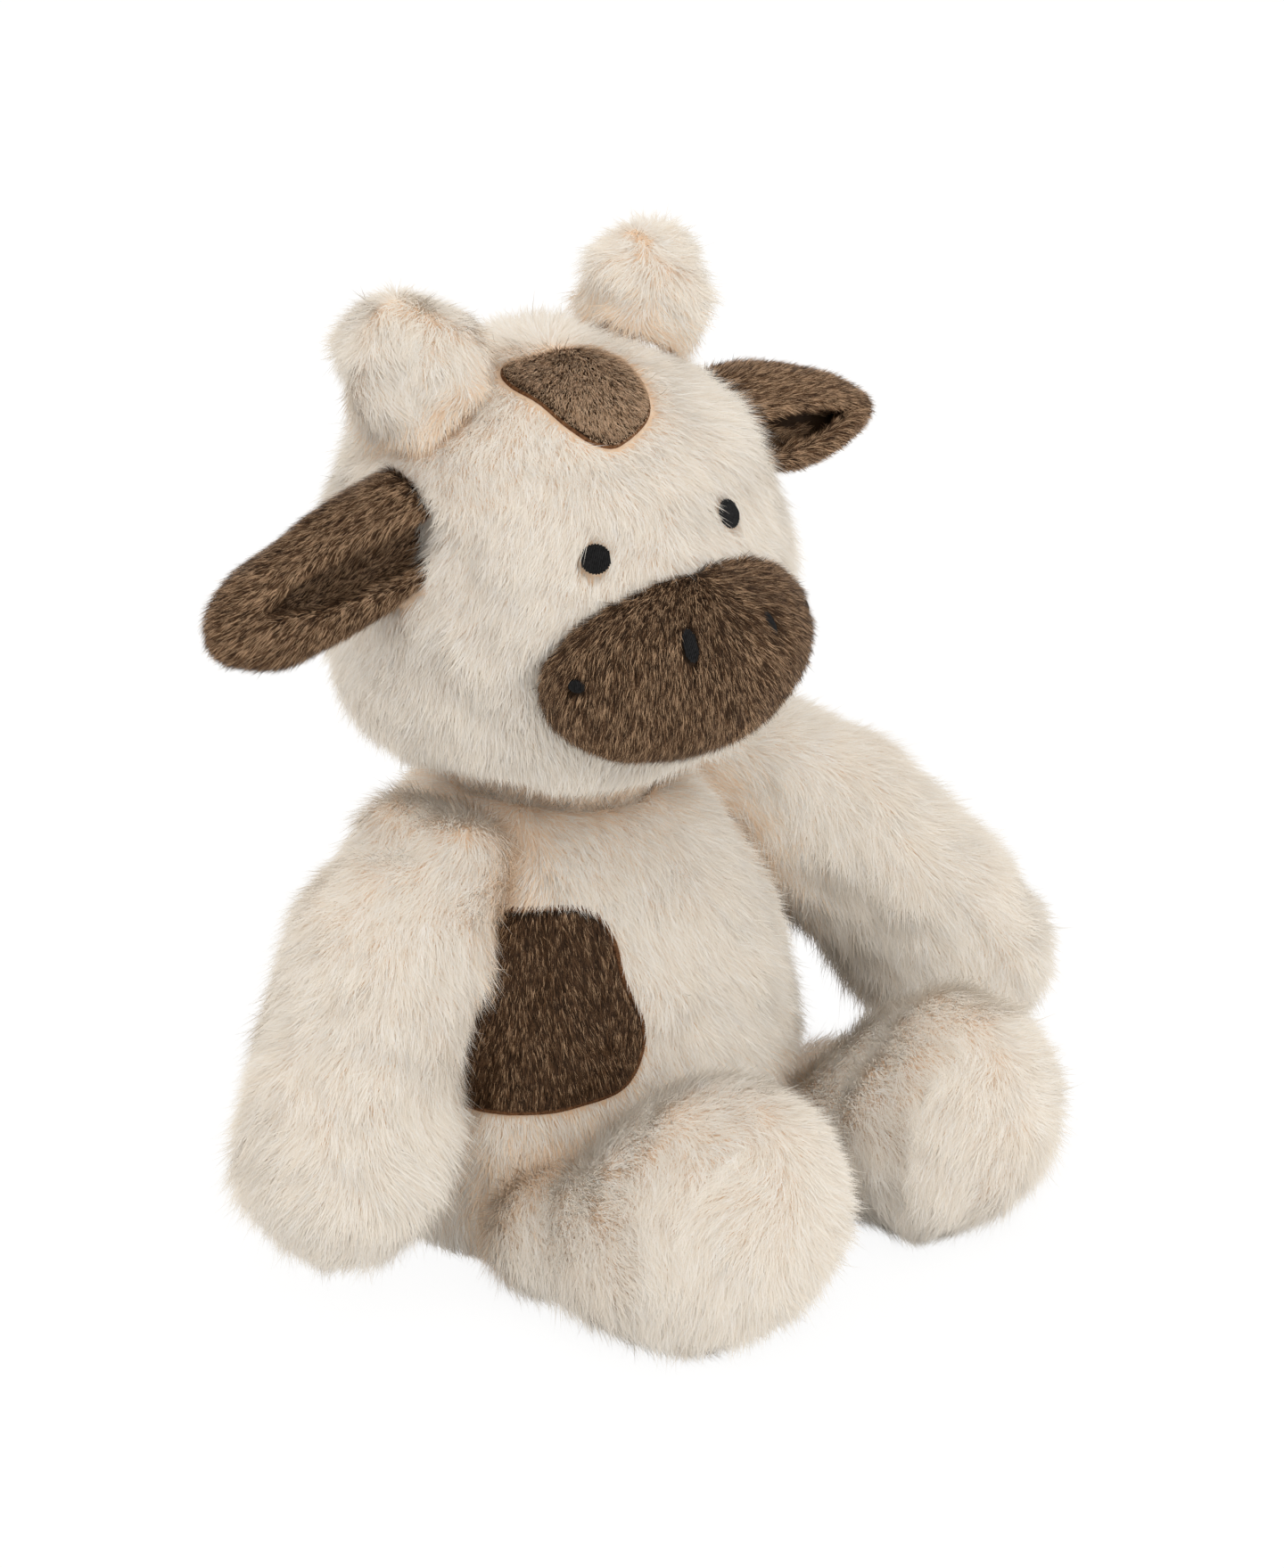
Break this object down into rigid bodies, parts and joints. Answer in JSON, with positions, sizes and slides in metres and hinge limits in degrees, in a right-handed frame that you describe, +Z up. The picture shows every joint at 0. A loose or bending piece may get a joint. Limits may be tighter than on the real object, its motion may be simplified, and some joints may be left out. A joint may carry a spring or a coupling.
{
  "type": "plush cow",
  "caption": "Seated floppy plush cow of long cream pile with short brown pile on its ears, muzzle and patches, with a turning head and loose limbs.",
  "frame": {"origin": "middle of the overall box, on the surface that the toy sits on", "axes": "+Z up, the toy's body faces -Y, its right side is -X"},
  "size_m": [0.26, 0.2526, 0.2772],
  "materials": {
    "cream_fur_fabric": "long soft pile, matte",
    "brown_fur_fabric": "short heathered pile, matte",
    "rust_thread_fabric": "satin stitch",
    "black_thread_fabric": "embroidered thread",
    "fibre_fill": "loose polyester fibre, matte",
    "bean_bag_fabric": "plain woven cotton"
  },
  "bodies": {
    "torso": {"torso_skin": "cream_fur_fabric", "torso_stuffing": "fibre_fill", "seat_bean_bag": "bean_bag_fabric", "side_patch_right": "brown_fur_fabric", "side_patch_right_stitching": "rust_thread_fabric", "side_patch_left": "brown_fur_fabric", "side_patch_left_stitching": "rust_thread_fabric"},
    "neck": {"neck_gather": "cream_fur_fabric"},
    "head": {"head_skin": "cream_fur_fabric", "head_stuffing": "fibre_fill", "muzzle": "brown_fur_fabric", "brow_patch": "brown_fur_fabric", "brow_patch_stitching": "rust_thread_fabric", "eye_right": "black_thread_fabric", "nostril_right": "black_thread_fabric", "mouth_corner_right": "black_thread_fabric", "horn_right": "cream_fur_fabric", "eye_left": "black_thread_fabric", "nostril_left": "black_thread_fabric", "mouth_corner_left": "black_thread_fabric", "horn_left": "cream_fur_fabric"},
    "arm_right": {"arm_right_skin": "cream_fur_fabric", "arm_right_stuffing": "fibre_fill"},
    "leg_right": {"leg_right_skin": "cream_fur_fabric", "leg_right_stuffing": "fibre_fill"},
    "ear_right": {"ear_right": "brown_fur_fabric"},
    "arm_left": {"arm_left_skin": "cream_fur_fabric", "arm_left_stuffing": "fibre_fill"},
    "leg_left": {"leg_left_skin": "cream_fur_fabric", "leg_left_stuffing": "fibre_fill"},
    "ear_left": {"ear_left": "brown_fur_fabric"},
    "tail": {"tail_cord": "cream_fur_fabric", "tail_tuft": "brown_fur_fabric"}
  },
  "joints": [
    {"name": "neck_turn", "type": "hinge", "parent": "torso", "child": "neck", "pos_m": [-0.00231, 0.0141, 0.12], "axis": [0, 0, 1], "range_deg": [-30, 50]},
    {"name": "neck_nod", "type": "hinge", "parent": "neck", "child": "head", "pos_m": [-0.00231, 0.0141, 0.12], "axis": [0.9781, -0.2079, 0], "range_deg": [-12, 10]},
    {"name": "shoulder_right_lift", "type": "hinge", "parent": "torso", "child": "arm_right", "pos_m": [-0.05731, 0.0111, 0.112], "axis": [0, 1, 0], "range_deg": [0, 60]},
    {"name": "hip_right_lift", "type": "hinge", "parent": "torso", "child": "leg_right", "pos_m": [-0.05231, -0.0389, 0.0175], "axis": [-1, 0, 0], "range_deg": [-45, 10]},
    {"name": "ear_right_flop", "type": "hinge", "parent": "head", "child": "ear_right", "pos_m": [-0.06377, 0.01592, 0.21587], "axis": [0.2079, 0.9781, 0], "range_deg": [-15, 35]},
    {"name": "shoulder_left_lift", "type": "hinge", "parent": "torso", "child": "arm_left", "pos_m": [0.05269, 0.0111, 0.112], "axis": [0, -1, 0], "range_deg": [0, 60]},
    {"name": "hip_left_lift", "type": "hinge", "parent": "torso", "child": "leg_left", "pos_m": [0.04769, -0.0389, 0.0175], "axis": [-1, 0, 0], "range_deg": [-45, 10]},
    {"name": "ear_left_flop", "type": "hinge", "parent": "head", "child": "ear_left", "pos_m": [0.0515, -0.00858, 0.22205], "axis": [-0.2079, -0.9781, 0], "range_deg": [-15, 35]},
    {"name": "tail_lift", "type": "hinge", "parent": "torso", "child": "tail", "pos_m": [-0.00231, 0.0806, 0.04], "axis": [1, 0, 0], "range_deg": [0, 60]}
  ]
}
